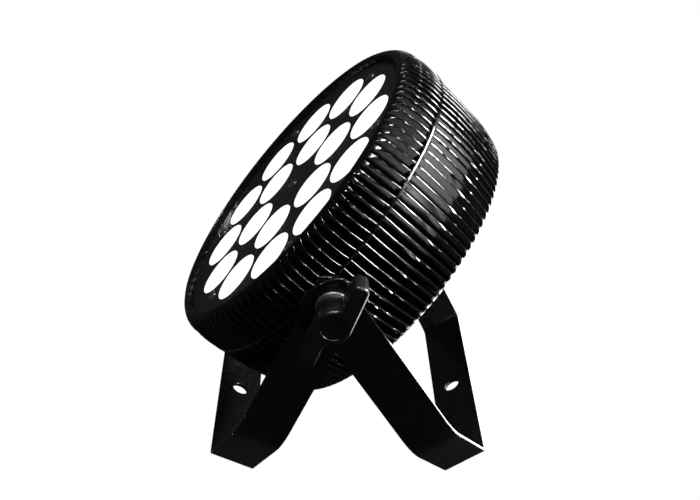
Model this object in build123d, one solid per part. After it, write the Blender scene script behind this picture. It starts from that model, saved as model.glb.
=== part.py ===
from build123d import *
from math import acos, atan2, cos, degrees, hypot, radians, sin, tan
import os

# LED par light: a finned round head that tilts between two nested flat-strip yokes.
# The yokes splay into a tent, so the light stands on the floor on the edges of their cross-bars.
# Millimetres. +Z is up, the beam leaves towards -Y and upwards, the tilt axis is along X.
# The origin is on the floor under the middle of the whole object.
# The head is drawn in its own frame: tilt axis through the origin, beam along +Z, X shared.

# ---------------------------------------------------------------- stance
BEAM_ELEVATION = 42.0  # degrees above the floor
OUTER_SPLAY = 32.0  # degrees, rear legs from the vertical
AXIS_Y = -3.9  # tilt axis, so that the whole object is centred over the origin

# ---------------------------------------------------------------- yokes
STRIP_WIDTH = 35.0
STRIP_THICKNESS = 3.0
STRIP_EDGE = 0.4  # broken edges
FOOT_HALF = STRIP_WIDTH / 2 - STRIP_EDGE
STRIP_HEAD_ROUND = 15.3  # pivot to the corners of the leg's end
STRIP_HEAD_TOP = 20.5  # pivot to the crown of the leg's end
OUTER_LENGTH = 190.0  # pivot to the outside of the cross-bar
OUTER_BEND_START = 133.0
OUTER_BEND_INSET = 42.0
INNER_LENGTH = 181.0
INNER_BEND_START = 121.0
INNER_BEND_INSET = 43.0
UPPER_BEND_RADIUS = 44.0
LOWER_BEND_RADIUS = 9.0
CLAMP_HOLE_RADIUS = 6.5
PIVOT_HOLE_RADIUS = 5.05

# ---------------------------------------------------------------- pivot stack, along X from the middle
BOSS_FACE = 134.6
INSERT_FLANGE = 1.0
FRICTION_WASHER = 0.8
INSERT_FACE = BOSS_FACE + INSERT_FLANGE
INNER_YOKE_FACE = INSERT_FACE + FRICTION_WASHER + STRIP_THICKNESS
OUTER_YOKE_FACE = INNER_YOKE_FACE + FRICTION_WASHER + STRIP_THICKNESS
KNOB_WASHER = 1.5
KNOB_BASE = OUTER_YOKE_FACE + KNOB_WASHER
BOSS_RADIUS = 9.5
INSERT_RADIUS = 7.5
INSERT_FLANGE_RADIUS = 15.0
INSERT_INNER_END = 118.0
FRICTION_WASHER_RADIUS = 16.5
STUD_RADIUS = 5.0
STUD_INNER_END = 119.0
STUD_OUTER_END = 160.0

# ---------------------------------------------------------------- wing knobs
KNOB_FRONT = 170.0
WING_BACK = 151.0
KNOB_STEM_RADIUS = 10.0
KNOB_HUB_RADIUS = 12.4
WING_INNER_OFFSET = 0.9
WING_OUTER_OFFSET = 12.3
WING_REACH = 34.5
WING_TIP_RADIUS = 4.6
WING_ROOT_RADIUS = 7.0
WING_ANGLE = 22.0  # degrees from the vertical
KNOB_EDGE = 1.2
CAP_RECESS_RADIUS = 8.9
CAP_RECESS_DEPTH = 2.0
CAP_RADIUS = 8.8
CAP_THICKNESS = 1.2

# ---------------------------------------------------------------- head shell, heights along the beam
LIP_FRONT = 45.6
LIP_INNER_RADIUS = 121.5
LIP_OUTER_RADIUS = 125.2
LIP_EDGE = 0.6
LEDGE_RADIUS = 118.6
SHOULDER_MIDDLE = (130.9, 40.0)  # radius and height of a point on the wall
SHOULDER_FOOT = (133.3, 31.0)
BELLY = (134.5, 21.0)
FRONT_SEAM = 12.6
FRONT_SEAM_RADIUS = 134.1
REAR_SEAM = 10.6
REAR_SEAM_RADIUS = 134.0
RING_RADIUS = 134.4
RING_INNER_RADIUS = 119.0
WEB_TOP = 18.0
SPIGOT_OUTER = 118.6
SPIGOT_INNER = 115.0
SPIGOT_END = 8.2
SIDE_MIDDLE = (130.9, -28.0)
REAR_RIM_START = (124.6, -55.0)
REAR_RIM_MIDDLE = (122.6, -58.6)
REAR_RIM_END = (118.0, -60.6)
REAR_FACE = -64.4
REAR_FACE_RADIUS = 104.0
REAR_WALL = 5.0
REAR_INNER_FLOOR = REAR_FACE + REAR_WALL
CAVITY_RADIUS = 119.0
CAVITY_TAPER_HEIGHT = -44.0
CAVITY_END_RADIUS = 104.0

# ---------------------------------------------------------------- fins: lands left between V grooves
FIN_COUNT = 114
GROOVE_FLANK = 26.5  # degrees from the groove's middle plane
# each station: height, radius of the groove's floor, radius of the cutter's open side
FRONT_GROOVE = [(FRONT_SEAM - 1, 128.4, 135.6), (LIP_FRONT + 1, 125.8, 133.0)]
REAR_GROOVE = [(REAR_SEAM + 1, 128.2, 135.4), (-30.0, 124.8, 132.0), (-63.0, 117.9, 123.9)]

# ---------------------------------------------------------------- optics
INNER_RING_RADIUS = 45.0
OUTER_RING_RADIUS = 88.0
INNER_RING_COUNT = 6
OUTER_RING_COUNT = 12
LENS_RADIUS = 20.0
LENS_DOME = 1.5
PLATE_FRONT = 40.0
PLATE_THICKNESS = 2.0
PLATE_RADIUS = 121.2
LENS_HOLE_RADIUS = 20.3
FACE_SCREW_CIRCLE = 105.0
BOARD_THICKNESS = 1.6
PAD_THICKNESS = 0.5
BOARD_RADIUS = 114.0
EMITTER_SIZE = 7.0
EMITTER_HEIGHT = 2.5
BOARD_TOP = WEB_TOP + PAD_THICKNESS + BOARD_THICKNESS
LENS_SEAT = PLATE_FRONT - PLATE_THICKNESS - 0.4
LENS_FLANGE = 1.2
LENS_FLANGE_RADIUS = 21.2
HOLDER_TOP = LENS_SEAT - LENS_FLANGE
HOLDER_THICKNESS = 2.0
HOLDER_RADIUS = 112.0
HOLDER_HOLE_RADIUS = 19.4
HOLDER_POST_CIRCLE = 66.5
FACE_BOSS_RADIUS = 4.5
FACE_SCREW_RADIUS = 2.0
LED_LEAD_Y = 66.0
LED_LEAD_HOLE = 7.0

# ---------------------------------------------------------------- rear panel and what it carries
PANEL_WIDTH = 159.4
PANEL_HEIGHT = 119.4
PANEL_THICKNESS = 3.0
PANEL_GAP = 0.3
PANEL_CORNER = 8.0
PANEL_OPENING_WIDTH = 134.0
PANEL_OPENING_HEIGHT = 94.0
PANEL_BACK = REAR_FACE + PANEL_THICKNESS
PANEL_SCREW_X = 73.5
PANEL_SCREW_Y = 53.5
PANEL_SCREW_RADIUS = 1.5
PANEL_BOSS_RADIUS = 4.0
HOUSING_SCREW_CIRCLE = 98.0
HOUSING_SCREW_COUNT = 6
HOUSING_SCREW_RADIUS = 2.5
HOUSING_BOSS_RADIUS = 7.5
HOUSING_BOSS_JOINT = 2.0
HOUSING_COUNTERBORE_RADIUS = 5.2
HOUSING_COUNTERBORE_END = -30.0
HOUSING_SCREW_HEAD_RADIUS = 4.5
HOUSING_SCREW_HEAD = 5.0
HOUSING_SCREW_KEY = 2.3
SOCKET_Y = -27.0
SOCKET_XS = {"power_inlet": 50.0, "power_outlet": 17.0, "data_inlet": -17.0, "data_outlet": -50.0}
SOCKET_FLANGE_WIDTH = 26.0
SOCKET_FLANGE_HEIGHT = 31.0
SOCKET_FLANGE = 2.0
SOCKET_BARREL_RADIUS = 11.8
SOCKET_BARREL_END = -38.0
SOCKET_COLLAR = 1.6
SOCKET_SCREW_X = 9.5
SOCKET_SCREW_Y = 12.0
POWER_CAVITY_RADIUS = 10.4
DATA_CAVITY_RADIUS = 9.4
SOCKET_CAVITY_DEPTH = 16.0
SOCKET_FLOOR = REAR_FACE - SOCKET_FLANGE + SOCKET_CAVITY_DEPTH
CONTACT_LENGTH = 8.0
POWER_CONTACT_CIRCLE = 5.5
DATA_CONTACT_CIRCLE = 4.0
DATA_INSERT_RADIUS = 7.2
LATCH_OFFSET = 12.8
LATCH_SLOT_WIDTH = 6.6
LATCH_SLOT_HEIGHT = 4.4
BUTTON_Y = 10.0
BUTTON_XS = {"menu_button": 33.0, "up_button": 11.0, "down_button": -11.0, "enter_button": -33.0}
BUTTON_RADIUS = 4.0
BUTTON_HOLE_RADIUS = 4.35
BUTTON_PROUD = 1.6
BUTTON_FLANGE_RADIUS = 5.4
BUTTON_TRAVEL = 0.8
DISPLAY_Y = 36.0
DISPLAY_WIDTH = 54.0
DISPLAY_HEIGHT = 24.0
FUSE_X = 50.0
FUSE_Y = 36.0
FUSE_HOLDER_END = -36.0
VENT_X = -50.0
CONTROL_BOARD_BACK = -53.0
EYE_Y = -86.0
EYE_SPAN = 20.0
EYE_WIRE_RADIUS = 2.5
EYE_REACH = 16.0

# ---------------------------------------------------------------- power and wiring inside the head
SUPPLY_WIDTH = 150.0
SUPPLY_HEIGHT = 74.0
SUPPLY_Y = -22.0
SUPPLY_BACK = -31.0
SUPPLY_FRONT = 2.0
SUPPLY_SLOT_XS = (-60.0, -36.0, -12.0, 12.0, 36.0, 60.0)
DRIVER_Y = 46.0
DRIVER_WIDTH = 130.0
DRIVER_HEIGHT = 44.0
DRIVER_COIL_XS = (-48.0, -24.0, 24.0, 48.0)
DATA_RUN = -34.5
DATA_PLUG_Y = 30.0
DATA_PLUG_HEIGHT = 2.0

os.makedirs("parts", exist_ok=True)


def head_place():
    """From the head's own frame to the object's frame."""
    return Pos(0, AXIS_Y, AXIS_Z) * Rot(X=90 - BEAM_ELEVATION)


def save(name, shape, place=None):
    """Write one node's STEP file, moved to its place in the object's frame."""
    part = place * shape if place is not None else shape
    export_step(part, f"parts/{name}.step")


def standing_height(length, splay):
    """Height of the pivot over the floor for a leg that stands on the lower edge of its cross-bar."""
    return length * cos(radians(splay)) + FOOT_HALF * sin(radians(splay))


def splay_for_height(length, height):
    """Splay angle that puts a leg's pivot at the given height."""
    reach = hypot(length, FOOT_HALF)
    return degrees(acos(height / reach) + atan2(FOOT_HALF, length))


AXIS_Z = standing_height(OUTER_LENGTH, OUTER_SPLAY)
INNER_SPLAY = splay_for_height(INNER_LENGTH, AXIS_Z)


def disc(radius, low, high, hole=0.0):
    """Round plate or tube along Z between two heights."""
    body = Pos(0, 0, (low + high) / 2) * Cylinder(radius, high - low)
    if hole:
        body -= Pos(0, 0, (low + high) / 2) * Cylinder(hole, high - low + 2)
    return body


def axle(radius, low, high, hole=0.0):
    """Round piece along X between two places."""
    return Rot(Y=90) * disc(radius, low, high, hole)


def plate(width, height, low, high, corner=0.0):
    """Rectangular plate in the XY plane between two heights."""
    outline = RectangleRounded(width, height, corner) if corner else Rectangle(width, height)
    return extrude(Pos(0, 0, low) * outline, high - low)


def turned(outline):
    """Solid of revolution about Z from a closed outline of radius and height."""
    return revolve(Plane.XZ * make_face(outline), Axis.Z)


def lens_places():
    """The lenses' centres in the head's frame: 6 on the inner ring and 12 on the outer ring."""
    rings = [(INNER_RING_RADIUS, INNER_RING_COUNT, 90.0), (OUTER_RING_RADIUS, OUTER_RING_COUNT, 75.0)]
    places = []
    for radius, count, start in rings:
        for k in range(count):
            angle = radians(start + 360.0 / count * k)
            places.append((radius * cos(angle), radius * sin(angle)))
    return places


def circle_places(radius, count, start=0.0):
    """Evenly spaced places on a circle."""
    turns = [radians(start + 360.0 / count * k) for k in range(count)]
    return [(radius * cos(turn), radius * sin(turn)) for turn in turns]


FACE_SCREW_PLACES = [(0.0, 0.0)] + circle_places(FACE_SCREW_CIRCLE, 6, 0.0)
HOUSING_SCREW_PLACES = circle_places(HOUSING_SCREW_CIRCLE, HOUSING_SCREW_COUNT)
PANEL_SCREW_PLACES = [
    (x, y)
    for x in (-PANEL_SCREW_X, 0.0, PANEL_SCREW_X)
    for y in (-PANEL_SCREW_Y, PANEL_SCREW_Y)
]
SOCKET_SCREW_OFFSETS = [(-SOCKET_SCREW_X, SOCKET_SCREW_Y), (SOCKET_SCREW_X, -SOCKET_SCREW_Y)]
SOCKET_SCREW_PLACES = [
    (x + dx, SOCKET_Y + dy) for x in SOCKET_XS.values() for dx, dy in SOCKET_SCREW_OFFSETS
]


def dome(radius, low, rise):
    """Arc of a spherical cap, from its rim to its crown on the axis."""
    sphere = (radius**2 + rise**2) / (2 * rise)
    middle = low + rise - sphere + (sphere**2 - radius**2 / 4) ** 0.5
    return ThreePointArc((radius, low), (radius / 2, middle), (0, low + rise))


def at_each(places, shape):
    """Copies of one shape at several places in the XY plane."""
    return [Pos(x, y, 0) * shape for x, y in places]


# ---------------------------------------------------------------- yokes
def yoke(face, length, bend_start, bend_inset):
    """Flat strip bent into a U with chamfered corners; pivot at the origin, cross-bar below."""
    top = STRIP_HEAD_TOP + 2 * STRIP_THICKNESS
    side = [(face, top), (face, -bend_start), (face - bend_inset, -length)]
    corners = side + [(-x, z) for x, z in reversed(side)]
    radii = [UPPER_BEND_RADIUS, LOWER_BEND_RADIUS, LOWER_BEND_RADIUS, UPPER_BEND_RADIUS]
    path = FilletPolyline(*corners, radius=radii)
    outside = make_face(path + Line(corners[-1], corners[0]))
    strip = outside - offset(outside, -STRIP_THICKNESS)
    body = extrude(Plane.XZ * strip, STRIP_WIDTH / 2, both=True)
    half = STRIP_WIDTH / 2
    crown = ThreePointArc((-half, STRIP_HEAD_ROUND), (0, STRIP_HEAD_TOP), (half, STRIP_HEAD_ROUND))
    sides = Polyline((half, STRIP_HEAD_ROUND), (half, -length), (-half, -length), (-half, STRIP_HEAD_ROUND))
    body &= extrude(Plane.YZ * make_face(crown + sides), face + 1, both=True)
    body = chamfer(body.edges(), STRIP_EDGE)
    body -= axle(PIVOT_HOLE_RADIUS, -face - 1, face + 1)
    body -= disc(CLAMP_HOLE_RADIUS, -length - 1, -length + STRIP_THICKNESS + 1)
    return body


def make_yokes():
    outer = yoke(OUTER_YOKE_FACE, OUTER_LENGTH, OUTER_BEND_START, OUTER_BEND_INSET)
    inner = yoke(INNER_YOKE_FACE, INNER_LENGTH, INNER_BEND_START, INNER_BEND_INSET)
    save("outer_yoke", outer, Pos(0, AXIS_Y, AXIS_Z) * Rot(X=OUTER_SPLAY))
    save("inner_yoke", inner, Pos(0, AXIS_Y, AXIS_Z) * Rot(X=-INNER_SPLAY))


# ---------------------------------------------------------------- pivots and knobs
def both_sides(shape):
    """A shape on the +X side with its half-turn copy on the -X side."""
    return Compound([shape, Rot(Z=180) * shape])


def make_pivot_washers():
    axis = Pos(0, AXIS_Y, AXIS_Z)
    inner_face = INSERT_FACE + FRICTION_WASHER
    head_washer = axle(FRICTION_WASHER_RADIUS, INSERT_FACE, inner_face, PIVOT_HOLE_RADIUS)
    yoke_gap_end = INNER_YOKE_FACE + FRICTION_WASHER
    yoke_washer = axle(FRICTION_WASHER_RADIUS, INNER_YOKE_FACE, yoke_gap_end, PIVOT_HOLE_RADIUS)
    save("head_friction_washers", both_sides(head_washer), axis)
    save("yoke_friction_washers", both_sides(yoke_washer), axis)


def make_pivot_inserts():
    insert = axle(INSERT_RADIUS, INSERT_INNER_END, BOSS_FACE + 0.5, PIVOT_HOLE_RADIUS)
    insert += axle(INSERT_FLANGE_RADIUS, BOSS_FACE, INSERT_FACE, PIVOT_HOLE_RADIUS)
    save("pivot_inserts", both_sides(insert), head_place())


def knob_outline():
    """S-shaped grip: a hub with two parallel wings, one on each side of the middle."""
    width = WING_OUTER_OFFSET - WING_INNER_OFFSET
    centre = (WING_OUTER_OFFSET + WING_INNER_OFFSET) / 2
    wing = Pos(centre, WING_REACH / 2) * Rectangle(width, WING_REACH)
    wing = fillet(wing.vertices().sort_by(Axis.Y)[-2:], WING_TIP_RADIUS)
    outline = Circle(KNOB_HUB_RADIUS) + wing + Rot(Z=180) * wing
    roots = outline.vertices().filter_by(lambda v: abs(abs(v.X) - WING_INNER_OFFSET) < 0.01)
    roots = roots.filter_by(lambda v: abs(abs(v.Y) - KNOB_HUB_RADIUS) < 1)
    return fillet(roots, WING_ROOT_RADIUS)


def make_knob(side, turn):
    """Moulded wing knob with its stud, cap and washer, on the +X side before it is turned about Z."""
    grip = extrude(Plane.YZ.offset(WING_BACK) * Rot(Z=-WING_ANGLE) * knob_outline(), KNOB_FRONT - WING_BACK)
    rims = grip.edges().filter_by(lambda e: abs(e.bounding_box().size.X) < 0.01)
    grip = chamfer(rims, KNOB_EDGE)
    grip += axle(KNOB_STEM_RADIUS, KNOB_BASE, WING_BACK + 1)
    grip -= axle(CAP_RECESS_RADIUS, KNOB_FRONT - CAP_RECESS_DEPTH, KNOB_FRONT + 1)
    grip -= axle(STUD_RADIUS, KNOB_BASE - 1, STUD_OUTER_END)
    cap_back = KNOB_FRONT - CAP_RECESS_DEPTH
    cap = axle(CAP_RADIUS, cap_back, cap_back + CAP_THICKNESS)
    stud = axle(STUD_RADIUS, STUD_INNER_END, STUD_OUTER_END)
    washer = axle(KNOB_HUB_RADIUS, OUTER_YOKE_FACE, KNOB_BASE, PIVOT_HOLE_RADIUS)
    place = Pos(0, AXIS_Y, AXIS_Z) * Rot(Z=turn)
    save(f"{side}_knob", grip, place)
    save(f"{side}_knob_cap", cap, place)
    save(f"{side}_stud", stud, place)
    save(f"{side}_washer", washer, place)


# ---------------------------------------------------------------- head shell
def groove_section(height, floor, top):
    """Three-cornered cross-section of a groove's cutter, in a plane across the beam."""
    half = (top - floor) * tan(radians(GROOVE_FLANK))
    return Pos(0, 0, height) * make_face(Polyline((floor, 0), (top, -half), (top, half), close=True))


def groove_cutters(stations):
    """One cutter for each groove, through its stations along the beam."""
    sections = [groove_section(*station) for station in stations]
    spans = [loft([start, end], ruled=True) for start, end in zip(sections, sections[1:])]
    cutter = spans[0]
    for span in spans[1:]:
        cutter += span
    return [Rot(Z=360.0 / FIN_COUNT * (k + 0.5)) * cutter for k in range(FIN_COUNT)]


def make_front_housing():
    """Front half: lip, domed finned wall, and the web that carries the board."""
    seam = (FRONT_SEAM_RADIUS, FRONT_SEAM)
    outline = ThreePointArc((LIP_OUTER_RADIUS, LIP_FRONT - LIP_EDGE), SHOULDER_MIDDLE, SHOULDER_FOOT)
    outline += Spline(SHOULDER_FOOT, BELLY, seam)
    outline += Polyline(
        seam,
        (0, FRONT_SEAM),
        (0, WEB_TOP),
        (LEDGE_RADIUS, WEB_TOP),
        (LEDGE_RADIUS, PLATE_FRONT - PLATE_THICKNESS),
        (LIP_INNER_RADIUS, PLATE_FRONT - PLATE_THICKNESS),
        (LIP_INNER_RADIUS, LIP_FRONT),
        (LIP_OUTER_RADIUS - LIP_EDGE, LIP_FRONT),
        (LIP_OUTER_RADIUS, LIP_FRONT - LIP_EDGE),
    )
    shell = turned(outline)
    shell -= groove_cutters(FRONT_GROOVE)
    shell += disc(SPIGOT_OUTER, SPIGOT_END, FRONT_SEAM + 1, SPIGOT_INNER)
    boss = disc(FACE_BOSS_RADIUS, WEB_TOP - 1, PLATE_FRONT - PLATE_THICKNESS)
    shell += at_each(FACE_SCREW_PLACES, boss)
    joint_boss = disc(HOUSING_BOSS_RADIUS, HOUSING_BOSS_JOINT, FRONT_SEAM + 1)
    shell += at_each(HOUSING_SCREW_PLACES, joint_boss)
    shell -= at_each(FACE_SCREW_PLACES, disc(FACE_SCREW_RADIUS, WEB_TOP + 6, PLATE_FRONT))
    shell -= at_each(HOUSING_SCREW_PLACES, disc(HOUSING_SCREW_RADIUS, 0.0, WEB_TOP - 3))
    shell -= Pos(0, LED_LEAD_Y, 0) * disc(LED_LEAD_HOLE, FRONT_SEAM - 1, WEB_TOP + 1)
    save("front_housing", shell, head_place())


def make_joint_ring():
    save("joint_ring", disc(RING_RADIUS, REAR_SEAM, FRONT_SEAM, RING_INNER_RADIUS), head_place())


def make_rear_housing():
    """Rear half: finned wall with a rounded rear edge, and a flat rear wall with the panel's recess."""
    seam = (REAR_SEAM_RADIUS, REAR_SEAM)
    outline = ThreePointArc(seam, SIDE_MIDDLE, REAR_RIM_START)
    outline += ThreePointArc(REAR_RIM_START, REAR_RIM_MIDDLE, REAR_RIM_END)
    outline += Polyline(
        REAR_RIM_END,
        (REAR_FACE_RADIUS, REAR_FACE),
        (0, REAR_FACE),
        (0, REAR_INNER_FLOOR),
        (CAVITY_END_RADIUS, REAR_INNER_FLOOR),
        (CAVITY_RADIUS, CAVITY_TAPER_HEIGHT),
        (CAVITY_RADIUS, REAR_SEAM),
        seam,
    )
    shell = turned(outline)
    shell -= groove_cutters(REAR_GROOVE)
    for direction in (1, -1):
        span = sorted((direction * (CAVITY_RADIUS + 0.2), direction * BOSS_FACE))
        shell += axle(BOSS_RADIUS, *span)
    for direction in (1, -1):
        span = sorted((direction * (CAVITY_RADIUS - 6), direction * (BOSS_FACE + 5)))
        shell -= axle(INSERT_RADIUS, *span)
    pillar = disc(HOUSING_BOSS_RADIUS, REAR_INNER_FLOOR - 1, HOUSING_BOSS_JOINT)
    shell += at_each(HOUSING_SCREW_PLACES, pillar)
    panel_boss = disc(PANEL_BOSS_RADIUS, PANEL_BACK, PANEL_BACK + 12)
    shell += at_each(PANEL_SCREW_PLACES, panel_boss)
    recess_width = PANEL_WIDTH + 2 * PANEL_GAP
    recess_height = PANEL_HEIGHT + 2 * PANEL_GAP
    shell -= plate(recess_width, recess_height, REAR_FACE - 1, PANEL_BACK, PANEL_CORNER)
    opening_end = REAR_INNER_FLOOR + 1
    shell -= plate(PANEL_OPENING_WIDTH, PANEL_OPENING_HEIGHT, REAR_FACE, opening_end, PANEL_CORNER)
    counterbore = disc(HOUSING_COUNTERBORE_RADIUS, REAR_FACE - 1, HOUSING_COUNTERBORE_END)
    shell -= at_each(HOUSING_SCREW_PLACES, counterbore)
    through = disc(HOUSING_SCREW_RADIUS + 0.2, HOUSING_COUNTERBORE_END, HOUSING_BOSS_JOINT + 1)
    shell -= at_each(HOUSING_SCREW_PLACES, through)
    shell -= at_each(PANEL_SCREW_PLACES, disc(PANEL_SCREW_RADIUS, PANEL_BACK - 1, PANEL_BACK + 10))
    for end in (-1, 1):
        foot = Pos(0, EYE_Y + end * EYE_SPAN / 2, 0)
        shell -= foot * disc(EYE_WIRE_RADIUS, REAR_FACE - 1, REAR_INNER_FLOOR + 1)
    save("rear_housing", shell, head_place())


# ---------------------------------------------------------------- fasteners
def pan_screw(radius, head_radius, head_height, length):
    """Cross-recess pan-head screw: head up along +Z, underside of the head at the origin."""
    rim = head_height * 0.35
    rest = Polyline((0, head_height), (0, 0), (head_radius, 0), (head_radius, rim))
    screw = turned(dome(head_radius, rim, head_height - rim) + rest)
    screw += disc(radius, -length, 0.5)
    slot = head_radius * 1.1
    for turn in (0, 90):
        screw -= Rot(Z=turn) * Pos(0, 0, head_height) * Box(slot, head_radius * 0.24, head_height * 1.1)
    return screw


def make_screws():
    place = head_place()
    face_screw = Pos(0, 0, PLATE_FRONT) * pan_screw(FACE_SCREW_RADIUS, 4.0, 2.6, 14.0)
    save("face_screws", Compound(at_each(FACE_SCREW_PLACES, face_screw)), place)
    head_end = HOUSING_COUNTERBORE_END - HOUSING_SCREW_HEAD
    housing_screw = disc(HOUSING_SCREW_HEAD_RADIUS, head_end, HOUSING_COUNTERBORE_END)
    housing_screw += disc(HOUSING_SCREW_RADIUS, HOUSING_COUNTERBORE_END - 0.5, WEB_TOP - 4)
    key = RegularPolygon(HOUSING_SCREW_KEY, 6)
    housing_screw -= extrude(Pos(0, 0, head_end) * key, HOUSING_SCREW_HEAD / 2)
    save("housing_screws", Compound(at_each(HOUSING_SCREW_PLACES, housing_screw)), place)
    panel_screw = Pos(0, 0, REAR_FACE) * Rot(X=180) * pan_screw(PANEL_SCREW_RADIUS, 2.9, 1.9, 12.0)
    save("panel_screws", Compound(at_each(PANEL_SCREW_PLACES, panel_screw)), place)
    flange_face = REAR_FACE - SOCKET_FLANGE
    socket_screw = Pos(0, 0, flange_face) * Rot(X=180) * pan_screw(PANEL_SCREW_RADIUS, 2.7, 1.6, 8.0)
    save("socket_screws", Compound(at_each(SOCKET_SCREW_PLACES, socket_screw)), place)


# ---------------------------------------------------------------- optics
def make_optics():
    place = head_place()
    places = lens_places()
    face = disc(PLATE_RADIUS, PLATE_FRONT - PLATE_THICKNESS, PLATE_FRONT)
    face -= at_each(places, disc(LENS_HOLE_RADIUS, PLATE_FRONT - PLATE_THICKNESS - 1, PLATE_FRONT + 1))
    face -= at_each(FACE_SCREW_PLACES, disc(2.2, PLATE_FRONT - PLATE_THICKNESS - 1, PLATE_FRONT + 1))
    save("face_plate", face, place)

    lens_foot = BOARD_TOP + 0.4
    pocket_top = BOARD_TOP + EMITTER_HEIGHT + 1.6
    lens_outline = dome(LENS_RADIUS, PLATE_FRONT, LENS_DOME) + Polyline(
        (0, PLATE_FRONT + LENS_DOME),
        (0, pocket_top),
        (5.4, pocket_top),
        (5.4, lens_foot),
        (7.4, lens_foot),
        (HOLDER_HOLE_RADIUS - 0.2, HOLDER_TOP),
        (LENS_FLANGE_RADIUS, HOLDER_TOP),
        (LENS_FLANGE_RADIUS, LENS_SEAT),
        (LENS_RADIUS, LENS_SEAT),
        (LENS_RADIUS, PLATE_FRONT),
    )
    save("lenses", Compound(at_each(places, turned(lens_outline))), place)
    gasket = disc(LENS_FLANGE_RADIUS, LENS_SEAT, PLATE_FRONT - PLATE_THICKNESS, LENS_RADIUS + 0.05)
    save("lens_gaskets", Compound(at_each(places, gasket)), place)

    holder = disc(HOLDER_RADIUS, HOLDER_TOP - HOLDER_THICKNESS, HOLDER_TOP)
    low = HOLDER_TOP - HOLDER_THICKNESS - 1
    holder -= at_each(places, disc(HOLDER_HOLE_RADIUS, low, HOLDER_TOP + 1))
    post = disc(2.6, BOARD_TOP, HOLDER_TOP - 0.5)
    holder += at_each(circle_places(HOLDER_POST_CIRCLE, 6, 30.0), post)
    clear = disc(FACE_BOSS_RADIUS + 0.4, low, HOLDER_TOP + 1)
    holder -= at_each(FACE_SCREW_PLACES, clear)
    save("lens_holder", holder, place)

    board_low = WEB_TOP + PAD_THICKNESS
    layers = {"thermal_pad": (WEB_TOP, board_low), "led_board": (board_low, BOARD_TOP)}
    for name, (low, high) in layers.items():
        layer = disc(BOARD_RADIUS, low, high)
        layer -= at_each(FACE_SCREW_PLACES, disc(FACE_BOSS_RADIUS + 0.4, low - 1, high + 1))
        layer -= Pos(0, LED_LEAD_Y, 0) * disc(LED_LEAD_HOLE, low - 1, high + 1)
        save(name, layer, place)
    emitter = plate(EMITTER_SIZE, EMITTER_SIZE, BOARD_TOP, BOARD_TOP + EMITTER_HEIGHT - 0.8)
    emitter += Pos(0, 0, BOARD_TOP + EMITTER_HEIGHT - 0.8) * Cylinder(2.8, 1.6)
    save("led_emitters", Compound(at_each(places, emitter)), place)


# ---------------------------------------------------------------- rear panel
def make_rear_panel():
    panel = plate(PANEL_WIDTH, PANEL_HEIGHT, REAR_FACE, PANEL_BACK, PANEL_CORNER - PANEL_GAP)
    low = REAR_FACE - 1
    high = PANEL_BACK + 1
    panel -= at_each([(x, SOCKET_Y) for x in SOCKET_XS.values()], disc(SOCKET_BARREL_RADIUS, low, high))
    panel -= at_each([(x, BUTTON_Y) for x in BUTTON_XS.values()], disc(BUTTON_HOLE_RADIUS, low, high))
    panel -= at_each([(FUSE_X, FUSE_Y), (VENT_X, FUSE_Y)], disc(6.0, low, high))
    panel -= Pos(0, DISPLAY_Y, 0) * plate(DISPLAY_WIDTH, DISPLAY_HEIGHT, low, high, 2.0)
    panel -= at_each(PANEL_SCREW_PLACES, disc(PANEL_SCREW_RADIUS + 0.1, low, high))
    panel -= at_each(SOCKET_SCREW_PLACES, disc(PANEL_SCREW_RADIUS, low, high))
    slot_place = Pos(SOCKET_XS["data_outlet"], SOCKET_Y + LATCH_OFFSET, 0)
    panel -= slot_place * plate(LATCH_SLOT_WIDTH, LATCH_SLOT_HEIGHT, low, high)
    save("rear_panel", panel, head_place())


def make_display():
    place = head_place() * Pos(0, DISPLAY_Y, 0)
    window = plate(DISPLAY_WIDTH, DISPLAY_HEIGHT, REAR_FACE + 0.4, REAR_FACE + 2.0, 2.0)
    module = plate(DISPLAY_WIDTH - 3, DISPLAY_HEIGHT - 3, REAR_FACE + 2.0, CONTROL_BOARD_BACK, 1.0)
    save("display_window", window, place)
    save("display_module", module, place)


def make_buttons():
    stem_end = PANEL_BACK + 3.0
    for name, x in BUTTON_XS.items():
        button = disc(BUTTON_RADIUS, REAR_FACE - BUTTON_PROUD, PANEL_BACK + 0.5)
        button = chamfer(button.edges().sort_by(Axis.Z)[0], 0.6)
        button += disc(BUTTON_FLANGE_RADIUS, PANEL_BACK + 0.05, PANEL_BACK + 1.2)
        button += disc(1.5, PANEL_BACK + 1, stem_end)
        save(name, button, head_place() * Pos(x, BUTTON_Y, 0))


def make_control_board():
    """Board behind the panel with its four switches and a ribbon header."""
    high = CONTROL_BOARD_BACK + BOARD_THICKNESS
    board = Pos(0, 21.5, 0) * plate(124.0, 51.0, CONTROL_BOARD_BACK, high, 3.0)
    board -= Pos(FUSE_X, FUSE_Y, 0) * disc(6.5, CONTROL_BOARD_BACK - 1, high + 1)
    switch_face = PANEL_BACK + 3.0 + BUTTON_TRAVEL + 0.4
    switch = plate(6.0, 6.0, switch_face, CONTROL_BOARD_BACK)
    board += at_each([(x, BUTTON_Y) for x in BUTTON_XS.values()], switch)
    board += Pos(20.0, 34.0, 0) * plate(24.0, 8.0, high, high + 8.0)
    plug = plate(12.0, 12.0, high, high + DATA_PLUG_HEIGHT)
    board += Pos(SOCKET_XS["data_inlet"], DATA_PLUG_Y, 0) * plug
    save("control_board", board, head_place())
    post = disc(3.0, PANEL_BACK, CONTROL_BOARD_BACK)
    posts = [(x, y) for x in (-58.0, 58.0) for y in (0.0, 42.0)]
    save("board_standoffs", Compound(at_each(posts, post)), head_place())


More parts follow.
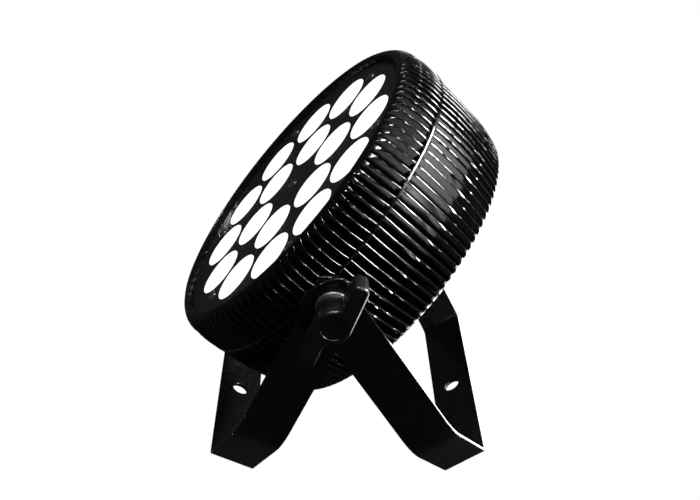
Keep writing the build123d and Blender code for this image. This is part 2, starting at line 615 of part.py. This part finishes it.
def socket_shell(cavity_radius):
    """Flanged round socket in its own frame: its axis on Z, its mouth towards -Z at the rear."""
    face = REAR_FACE - SOCKET_FLANGE
    shell = plate(SOCKET_FLANGE_WIDTH, SOCKET_FLANGE_HEIGHT, face, REAR_FACE, 3.0)
    shell += disc(SOCKET_BARREL_RADIUS, face - SOCKET_COLLAR, SOCKET_BARREL_END)
    shell -= disc(cavity_radius, face - SOCKET_COLLAR - 1, SOCKET_FLOOR)
    shell -= at_each(SOCKET_SCREW_OFFSETS, disc(PANEL_SCREW_RADIUS, face - 1, REAR_FACE + 1))
    return shell


def make_sockets():
    for name in ("power_inlet", "power_outlet"):
        save(name, socket_shell(POWER_CAVITY_RADIUS), socket_place(name))
    save("data_inlet", socket_shell(DATA_CAVITY_RADIUS), socket_place("data_inlet"))
    outlet = socket_shell(DATA_CAVITY_RADIUS)
    slot = plate(LATCH_SLOT_WIDTH, LATCH_SLOT_HEIGHT, REAR_FACE - SOCKET_FLANGE - 3, PANEL_BACK + 6.0)
    outlet -= Pos(0, LATCH_OFFSET, 0) * slot
    save("data_outlet", outlet, socket_place("data_outlet"))
    tab_width = LATCH_SLOT_WIDTH - 0.6
    tab_height = LATCH_SLOT_HEIGHT - 0.6
    tab = plate(tab_width, tab_height, REAR_FACE - SOCKET_FLANGE - 2.6, PANEL_BACK)
    save("data_latch", Pos(0, LATCH_OFFSET, 0) * tab, socket_place("data_outlet"))


def socket_place(name):
    """A socket's own frame in the object's frame."""
    return head_place() * Pos(SOCKET_XS[name], SOCKET_Y, 0)


def make_contacts():
    """Blades and pins on the sockets' floors, and the data outlet's insert with its three holes."""
    tip = SOCKET_FLOOR - CONTACT_LENGTH
    blade = Pos(POWER_CONTACT_CIRCLE, 0, 0) * plate(1.2, 5.0, tip, SOCKET_FLOOR)
    blades = [Rot(Z=turn) * blade for turn in (30, 150, 270)]
    contacts = [Pos(SOCKET_XS[name], 0, 0) * b for name in ("power_inlet", "power_outlet") for b in blades]
    pins = at_each(circle_places(DATA_CONTACT_CIRCLE, 3, 90.0), disc(1.2, tip, SOCKET_FLOOR))
    contacts += [Pos(SOCKET_XS["data_inlet"], 0, 0) * pin for pin in pins]
    save("socket_contacts", Compound(contacts), head_place() * Pos(0, SOCKET_Y, 0))
    insert = disc(DATA_INSERT_RADIUS, tip, SOCKET_FLOOR)
    holes = disc(1.3, tip - 1, SOCKET_FLOOR - 1)
    insert -= at_each(circle_places(DATA_CONTACT_CIRCLE, 3, 270.0), holes)
    save("socket_inserts", insert, socket_place("data_outlet"))


def make_fuse_and_vent():
    fuse_place = head_place() * Pos(FUSE_X, FUSE_Y, 0)
    holder = disc(8.0, REAR_FACE - 2.0, REAR_FACE, 6.0)
    holder += disc(6.0, REAR_FACE - 2.0, FUSE_HOLDER_END)
    holder -= disc(5.0, REAR_FACE - 3.0, FUSE_HOLDER_END - 4.0)
    save("fuse_holder", holder, fuse_place)
    cap = disc(6.6, REAR_FACE - 6.5, REAR_FACE - 2.05)
    cap += disc(4.9, REAR_FACE - 2.5, REAR_FACE + 4.0)
    cap -= Pos(0, 0, REAR_FACE - 6.5) * Box(10.0, 1.4, 3.0)
    save("fuse_cap", cap, fuse_place)
    hexagon = extrude(Pos(0, 0, REAR_FACE - 3.0) * RegularPolygon(8.0, 6), 3.0)
    vent = hexagon + disc(6.0, REAR_FACE - 1, PANEL_BACK + 5.0)
    for x, y in circle_places(3.0, 6):
        vent -= Pos(x, y, 0) * disc(0.8, REAR_FACE - 4, REAR_FACE + 4)
    save("vent_plug", vent, head_place() * Pos(VENT_X, FUSE_Y, 0))


def make_safety_eye():
    """Bent steel rod in the plane of the beam, both ends through the rear wall."""
    half = EYE_SPAN / 2
    crown = REAR_FACE - EYE_REACH
    path = Line((EYE_Y - half, REAR_INNER_FLOOR), (EYE_Y - half, crown + half))
    path += ThreePointArc((EYE_Y - half, crown + half), (EYE_Y, crown), (EYE_Y + half, crown + half))
    path += Line((EYE_Y + half, crown + half), (EYE_Y + half, REAR_INNER_FLOOR))
    route = Plane.YZ * path
    start = Plane(origin=(0, EYE_Y - half, REAR_INNER_FLOOR), z_dir=(0, 0, -1))
    eye = sweep(start * Circle(EYE_WIRE_RADIUS), path=route)
    save("safety_eye", eye, head_place())


# ---------------------------------------------------------------- power and wiring
def make_power():
    place = head_place()
    supply = Pos(0, SUPPLY_Y, 0) * plate(SUPPLY_WIDTH, SUPPLY_HEIGHT, SUPPLY_BACK, SUPPLY_FRONT, 2.0)
    slot = Pos(0, SUPPLY_Y, SUPPLY_BACK) * Box(6.0, 50.0, 3.0)
    supply -= [Pos(x, 0, 0) * slot for x in SUPPLY_SLOT_XS]
    save("power_supply", supply, place)
    posts = [(x, y) for x in (-66.0, 66.0) for y in (-50.0, 6.0)]
    standoffs = at_each(posts, disc(4.0, SUPPLY_FRONT, FRONT_SEAM))
    save("supply_standoffs", Compound(standoffs), place)
    driver = Pos(0, DRIVER_Y, 0) * plate(DRIVER_WIDTH, DRIVER_HEIGHT, 0.0, BOARD_THICKNESS, 2.0)
    for x in DRIVER_COIL_XS:
        driver += Pos(x, DRIVER_Y - 8, 0) * plate(12.0, 12.0, -8.0, 0.5)
        driver += Pos(x, DRIVER_Y + 10, 0) * disc(4.0, -12.0, 0.5)
    save("driver_board", driver, place)
    posts = [(x, y) for x in (-59.0, 59.0) for y in (DRIVER_Y - 16, DRIVER_Y + 16)]
    standoffs = at_each(posts, disc(3.0, BOARD_THICKNESS, FRONT_SEAM))
    save("driver_standoffs", Compound(standoffs), place)


def lead(points, radii, radius):
    """Round wire along straight runs joined by arcs."""
    path = FilletPolyline(*points, radius=radii)
    start = Plane(origin=path @ 0, z_dir=path % 0)
    return sweep(start * Circle(radius), path=path)


def make_leads():
    place = head_place()
    supply_lead = disc(3.0, SOCKET_BARREL_END, SUPPLY_BACK)
    save("supply_lead", supply_lead, socket_place("power_inlet"))
    supply_side = SUPPLY_Y + SUPPLY_HEIGHT / 2
    dc_route = [
        (40.0, supply_side, -24.0),
        (40.0, supply_side + 12, -24.0),
        (40.0, supply_side + 23, -20.0),
        (36.0, DRIVER_Y, -9.0),
        (36.0, DRIVER_Y, 0.0),
    ]
    save("dc_lead", lead(dc_route, [6.0, 6.0, 4.5], 2.0), place)
    save("led_lead", Pos(0, LED_LEAD_Y, 0) * disc(2.5, BOARD_THICKNESS, BOARD_TOP), place)
    data_x = SOCKET_XS["data_inlet"]
    data_plug = CONTROL_BOARD_BACK + BOARD_THICKNESS + DATA_PLUG_HEIGHT
    data_route = [
        (data_x, SOCKET_Y, SOCKET_BARREL_END),
        (data_x, SOCKET_Y, DATA_RUN),
        (data_x, DATA_PLUG_Y, DATA_RUN),
        (data_x, DATA_PLUG_Y, data_plug),
    ]
    save("data_lead", lead(data_route, [3.0, 5.0], 1.5), place)


make_yokes()
make_pivot_washers()
make_pivot_inserts()
make_knob("right", 0)
make_knob("left", 180)
make_joint_ring()
make_front_housing()
make_rear_housing()
make_screws()
make_optics()
make_rear_panel()
make_display()
make_buttons()
make_control_board()
make_sockets()
make_contacts()
make_fuse_and_vent()
make_safety_eye()
make_power()
make_leads()
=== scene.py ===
from math import radians, sin, cos

import bpy
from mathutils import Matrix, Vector


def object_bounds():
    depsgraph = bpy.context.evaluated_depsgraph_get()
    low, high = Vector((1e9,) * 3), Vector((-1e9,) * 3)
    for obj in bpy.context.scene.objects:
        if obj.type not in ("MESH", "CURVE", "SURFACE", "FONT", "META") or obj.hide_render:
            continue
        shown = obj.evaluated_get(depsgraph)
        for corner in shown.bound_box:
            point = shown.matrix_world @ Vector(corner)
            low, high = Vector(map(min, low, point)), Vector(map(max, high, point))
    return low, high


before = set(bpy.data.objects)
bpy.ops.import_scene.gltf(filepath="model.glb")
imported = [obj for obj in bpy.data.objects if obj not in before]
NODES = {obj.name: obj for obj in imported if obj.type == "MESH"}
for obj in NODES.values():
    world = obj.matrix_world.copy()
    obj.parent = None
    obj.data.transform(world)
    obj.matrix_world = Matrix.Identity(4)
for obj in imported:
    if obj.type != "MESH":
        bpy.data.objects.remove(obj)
cad_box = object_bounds()

MM = 0.001
OBJECT_MIDDLE = (cad_box[0] + cad_box[1]) / 2
WHITE = (1, 1, 1, 1)

# ---------------------------------------------------------------- camera
# No roll. It stands on the light's +X side and looks down at it.
LENS_MM = 59.9
SENSOR_MM = 36.0
CAMERA_PLACE = Vector((0.81664, -0.00587, 0.56125))
CAMERA_YAW = radians(1.109)
CAMERA_PITCH = radians(27.292)

# ---------------------------------------------------------------- studio
# strength of the world to the camera, and to everything else
WHITE_SWEEP = 1.0
SHADE_FILL = 0.03
# Lamps: azimuth and elevation in degrees, distance, width and height in metres, power in
# watts. Azimuth 0 is in front, 90 is +X. The softboxes light gloss alone, the fill box paint alone.
SOFTBOXES = {
    "rear_softbox": (178.0, 29.0, 1.9, 1.2, 0.4, 300.0),
    "top_softbox": (84.0, 82.0, 1.6, 0.45, 0.25, 45.0),
}
FILL_BOX = (60.0, 65.0, 2.4, 2.0, 2.0, 14.0)
# The floor: its own light makes it white
FLOOR_MIDDLE = (0.0, 0.0)
FLOOR_SIZE = (12.0, 12.0)
FLOOR_COLOUR = (0.02, 0.02, 0.02)
FLOOR_STRENGTH = 1.0
# a bright part of the floor that only reflections see
GLOW_MIDDLE = (-0.35, 0.58)
GLOW_SIZE = (1.0, 0.9)
GLOW_COLOUR = (0.0, 0.0, 0.0)
GLOW_STRENGTH = 8.0
GLOW_LEVEL = 1 * MM
CARD_ROUGHNESS = 0.9


def add_object(name, data):
    item = bpy.data.objects.new(name, data)
    bpy.context.scene.collection.objects.link(item)
    return item


def turn_to(item, way, axis):
    """Turn an object's own axis towards a direction, with its Y axis upright."""
    item.rotation_mode = "QUATERNION"
    item.rotation_quaternion = way.to_track_quat(axis, "Y")


def direction(azimuth, elevation):
    """Unit vector from the object towards a place round it, in degrees."""
    a, e = radians(azimuth), radians(elevation)
    return Vector((sin(a) * cos(e), -cos(a) * cos(e), sin(e)))


def make_camera():
    camera = add_object("camera", bpy.data.cameras.new("camera"))
    camera.data.lens = LENS_MM
    camera.data.sensor_width = SENSOR_MM
    camera.location = CAMERA_PLACE
    level = cos(CAMERA_PITCH)
    forward = Vector((-cos(CAMERA_YAW) * level, sin(CAMERA_YAW) * level, -sin(CAMERA_PITCH)))
    turn_to(camera, forward, "-Z")
    bpy.context.scene.camera = camera


def make_world():
    """White to the camera, and dim to the object, so that black paint stays black."""
    world = bpy.data.worlds.new("studio")
    bpy.context.scene.world = world
    world.use_nodes = True
    tree = world.node_tree
    background = tree.nodes["Background"]
    path = tree.nodes.new("ShaderNodeLightPath")
    strength = tree.nodes.new("ShaderNodeMapRange")
    strength.inputs["To Min"].default_value = SHADE_FILL
    strength.inputs["To Max"].default_value = WHITE_SWEEP
    tree.links.new(path.outputs["Is Camera Ray"], strength.inputs["Value"])
    tree.links.new(strength.outputs["Result"], background.inputs["Strength"])
    background.inputs["Color"].default_value = WHITE


def make_softbox(name, azimuth, elevation, distance, width, height, power):
    light = bpy.data.lights.new(name, "AREA")
    light.shape = "RECTANGLE"
    light.size = width
    light.size_y = height
    light.energy = power
    lamp = add_object(name, light)
    away = direction(azimuth, elevation)
    lamp.location = OBJECT_MIDDLE + away * distance
    turn_to(lamp, away, "Z")
    lamp.visible_camera = False
    return lamp


def make_card(name, middle, size, colour, emission):
    """Flat horizontal rectangle of the studio at floor height."""
    mesh = bpy.data.meshes.new(name)
    x, y = middle
    w, d = size[0] / 2, size[1] / 2
    corners = [(x - w, y - d, 0), (x + w, y - d, 0), (x + w, y + d, 0), (x - w, y + d, 0)]
    mesh.from_pydata(corners, [], [(0, 1, 2, 3)])
    card = add_object(name, mesh)
    surface = Surface(name).set(
        Base_Color=(*colour, 1),
        Roughness=CARD_ROUGHNESS,
        Specular_IOR_Level=0.0,
        Emission_Color=WHITE,
        Emission_Strength=emission,
    )
    mesh.materials.append(surface.material)
    return card


def make_floor():
    """White floor for the camera alone, and a part of it that shows in the paint."""
    floor = make_card("floor", FLOOR_MIDDLE, FLOOR_SIZE, FLOOR_COLOUR, FLOOR_STRENGTH)
    floor.visible_glossy = False
    floor.visible_diffuse = False
    glow = make_card("floor_glow", GLOW_MIDDLE, GLOW_SIZE, GLOW_COLOUR, GLOW_STRENGTH)
    glow.location.z = GLOW_LEVEL
    glow.visible_camera = False
    glow.visible_diffuse = False
    glow.visible_shadow = False


# ---------------------------------------------------------------- materials
# nearly all values of a noise lie between these
NOISE_LOW = 0.3
NOISE_HIGH = 0.7
# sockets of the colour mix, whose names repeat
MIX_FACTOR, MIX_LOW, MIX_HIGH, MIX_RESULT = 0, 6, 7, 2


class Surface:
    """A procedural material that works in the object's own metres."""

    def __init__(self, name):
        self.material = bpy.data.materials.new(name)
        self.material.use_nodes = True
        self.tree = self.material.node_tree
        self.shader = self.tree.nodes["Principled BSDF"]

    def set(self, **values):
        for name, value in values.items():
            self.shader.inputs[name.replace("_", " ")].default_value = value
        return self

    def link(self, output, name):
        self.tree.links.new(output, self.shader.inputs[name])

    def noise(self, size, detail=3.0):
        """Noise from 0 to 1 whose features are about size metres across."""
        place = self.tree.nodes.new("ShaderNodeTexCoord").outputs["Object"]
        node = self.tree.nodes.new("ShaderNodeTexNoise")
        node.inputs["Scale"].default_value = 1.0 / size
        node.inputs["Detail"].default_value = detail
        self.tree.links.new(place, node.inputs["Vector"])
        return node.outputs["Fac"]

    def ranged(self, value, low, high, start=NOISE_LOW, end=NOISE_HIGH):
        node = self.tree.nodes.new("ShaderNodeMapRange")
        node.inputs["From Min"].default_value = start
        node.inputs["From Max"].default_value = end
        node.inputs["To Min"].default_value = low
        node.inputs["To Max"].default_value = high
        self.tree.links.new(value, node.inputs["Value"])
        return node.outputs["Result"]

    def colour(self, value, low, high):
        node = self.tree.nodes.new("ShaderNodeMix")
        node.data_type = "RGBA"
        node.inputs[MIX_LOW].default_value = (*low, 1)
        node.inputs[MIX_HIGH].default_value = (*high, 1)
        self.tree.links.new(self.ranged(value, 0, 1), node.inputs[MIX_FACTOR])
        self.link(node.outputs[MIX_RESULT], "Base Color")

    def roughness(self, value, low, high):
        self.link(self.ranged(value, low, high), "Roughness")

    def bump(self, value, height):
        """Relief of the given height in metres."""
        node = self.tree.nodes.new("ShaderNodeBump")
        node.inputs["Distance"].default_value = height
        node.inputs["Strength"].default_value = 1.0
        self.tree.links.new(value, node.inputs["Height"])
        self.link(node.outputs["Normal"], "Normal")


# Coatings: size of the patches of tone, and of the patches of gloss in grains
COAT_PATCH = 14 * MM
COAT_GLOSS_GRAINS = 6
# Coloured plastic and lacquer
TINT_PATCH = 9 * MM
TINT_GLOSS = 1.5 * MM
TINT_GRAIN = 0.3 * MM
TINT_RELIEF = 0.004 * MM
# Bare metal
METAL_PATCH = 3 * MM
METAL_GLOSS = 0.8 * MM
METAL_SHADE = 0.85
METAL_DETAIL = 4.0
GRAIN_DETAIL = 2.0
# Lit lenses
LENS_ROUGHNESS = 0.12
LENS_PATCH = 6 * MM
LENS_DARK = (0.86, 0.88, 0.9)
LENS_LIGHT = (0.95, 0.96, 1.0)
LENS_WAVE = 1.2 * MM
LENS_WAVE_DETAIL = 1.0
LENS_RELIEF = 0.02 * MM
# their light in rare specks and outside them, and the noise values where a speck ends
SPECK_SIZE = 4.5 * MM
SPECK_GLOW = 0.62
LENS_GLOW = 1.1
SPECK_EDGE = (0.27, 0.33)


def grey(level):
    return (level, level, level * 1.03)


def coated(name, dark, light, smooth, rough, grain_mm, relief_mm):
    """Grey coating: tone varies slowly, gloss varies over the grain, and the grain has relief."""
    grain = grain_mm * MM
    surface = Surface(name)
    surface.colour(surface.noise(COAT_PATCH), grey(dark), grey(light))
    surface.roughness(surface.noise(grain * COAT_GLOSS_GRAINS), smooth, rough)
    surface.bump(surface.noise(grain, GRAIN_DETAIL), relief_mm * MM)
    return surface


def tinted(name, dark, light, smooth, rough):
    """Coloured plastic or lacquer with a fine even grain."""
    surface = Surface(name)
    surface.colour(surface.noise(TINT_PATCH), dark, light)
    surface.roughness(surface.noise(TINT_GLOSS), smooth, rough)
    surface.bump(surface.noise(TINT_GRAIN, GRAIN_DETAIL), TINT_RELIEF)
    return surface


def metal(name, tone, smooth, rough):
    surface = Surface(name).set(Metallic=1.0)
    surface.colour(surface.noise(METAL_PATCH), [part * METAL_SHADE for part in tone], tone)
    surface.roughness(surface.noise(METAL_GLOSS, METAL_DETAIL), smooth, rough)
    return surface


def glowing_lens(name):
    surface = Surface(name).set(Roughness=LENS_ROUGHNESS, Emission_Color=WHITE)
    surface.colour(surface.noise(LENS_PATCH), LENS_DARK, LENS_LIGHT)
    specks = surface.noise(SPECK_SIZE)
    surface.link(surface.ranged(specks, SPECK_GLOW, LENS_GLOW, *SPECK_EDGE), "Emission Strength")
    surface.bump(surface.noise(LENS_WAVE, LENS_WAVE_DETAIL), LENS_RELIEF)
    return surface


# coated: darkest and lightest tone, least and most roughness, grain and relief in mm.
# tinted: darkest and lightest colour, least and most roughness. metal: colour and roughness.
FINISHES = {
    "cast_black": (coated, 0.003, 0.006, 0.15, 0.2, 0.7, 0.0004),
    "ring_black": (coated, 0.004, 0.007, 0.14, 0.18, 0.3, 0.0003),
    "plate_black": (coated, 0.010, 0.014, 0.38, 0.48, 0.35, 0.002),
    "strip_black": (coated, 0.003, 0.005, 0.2, 0.28, 0.4, 0.0008),
    "moulded_black": (coated, 0.004, 0.007, 0.28, 0.38, 0.25, 0.001),
    "fibre": (coated, 0.02, 0.035, 0.7, 0.85, 0.5, 0.03),
    "seal_rubber": (coated, 0.010, 0.016, 0.6, 0.75, 0.4, 0.01),
    "holder_black": (coated, 0.012, 0.02, 0.5, 0.6, 0.3, 0.01),
    "module_black": (coated, 0.015, 0.022, 0.5, 0.6, 0.3, 0.01),
    "window_dark": (coated, 0.003, 0.005, 0.04, 0.08, 2.0, 0.0005),
    "button_grey": (coated, 0.13, 0.16, 0.45, 0.6, 0.25, 0.01),
    "socket_black": (coated, 0.008, 0.013, 0.35, 0.48, 0.3, 0.006),
    "socket_grey": (coated, 0.36, 0.42, 0.4, 0.5, 0.3, 0.006),
    "socket_blue": (tinted, (0.012, 0.05, 0.24), (0.02, 0.07, 0.3), 0.38, 0.48),
    "wire_black": (coated, 0.014, 0.02, 0.45, 0.55, 0.5, 0.01),
    "pad_grey": (coated, 0.4, 0.46, 0.7, 0.8, 0.5, 0.02),
    "board_metal": (coated, 0.78, 0.84, 0.35, 0.45, 0.5, 0.004),
    "board_green": (tinted, (0.012, 0.12, 0.05), (0.02, 0.16, 0.07), 0.28, 0.4),
    "emitter": (tinted, (0.82, 0.74, 0.38), (0.9, 0.85, 0.5), 0.2, 0.3),
    "zinc_steel": (metal, (0.62, 0.62, 0.6), 0.25, 0.4),
    "bright_screw": (metal, (0.85, 0.85, 0.85), 0.06, 0.14),
    "latch_metal": (metal, (0.6, 0.6, 0.6), 0.25, 0.4),
    "brass_post": (metal, (0.75, 0.6, 0.3), 0.25, 0.4),
    "contact_metal": (metal, (0.8, 0.66, 0.35), 0.15, 0.25),
    "supply_case": (metal, (0.55, 0.56, 0.57), 0.35, 0.5),
    "lens_white": (glowing_lens,),
}


def dress():
    """Every CAD node gets the procedural surface of its own material slot."""
    surfaces = {name: make(name, *values) for name, (make, *values) in FINISHES.items()}
    for node in NODES.values():
        slot = node.data.materials[0].name.split(".")[0]
        node.data.materials[0] = surfaces[slot].material


# ---------------------------------------------------------------- broken edges
WELD_DISTANCE = 0.01 * MM
ROUNDING_STEPS = 2
SHARP_ANGLE = radians(28)
# width of the rounding in mm
ROUNDED = {
    "front_housing": 0.25,
    "rear_housing": 0.25,
    "joint_ring": 0.15,
    "outer_yoke": 0.3,
    "inner_yoke": 0.3,
    "right_knob": 0.4,
    "left_knob": 0.4,
    "right_knob_cap": 0.3,
    "left_knob_cap": 0.3,
    "right_washer": 0.2,
    "left_washer": 0.2,
    "face_plate": 0.15,
    "rear_panel": 0.3,
    "power_inlet": 0.3,
    "power_outlet": 0.3,
    "data_inlet": 0.3,
    "data_outlet": 0.3,
    "fuse_holder": 0.3,
    "fuse_cap": 0.3,
    "vent_plug": 0.3,
}


def round_edges():
    for name, width in ROUNDED.items():
        modifiers = NODES[name].modifiers
        modifiers.new("weld", "WELD").merge_threshold = WELD_DISTANCE
        bevel = modifiers.new("rounded", "BEVEL")
        bevel.width = width * MM
        bevel.segments = ROUNDING_STEPS
        bevel.limit_method = "ANGLE"
        bevel.angle_limit = SHARP_ANGLE
        bevel.use_clamp_overlap = False
        bevel.harden_normals = True


make_camera()
make_world()
for box_name, settings in SOFTBOXES.items():
    make_softbox(box_name, *settings).visible_diffuse = False
make_softbox("fill_box", *FILL_BOX).visible_glossy = False
make_floor()
dress()
round_edges()
bpy.context.scene.view_settings.view_transform = "Standard"
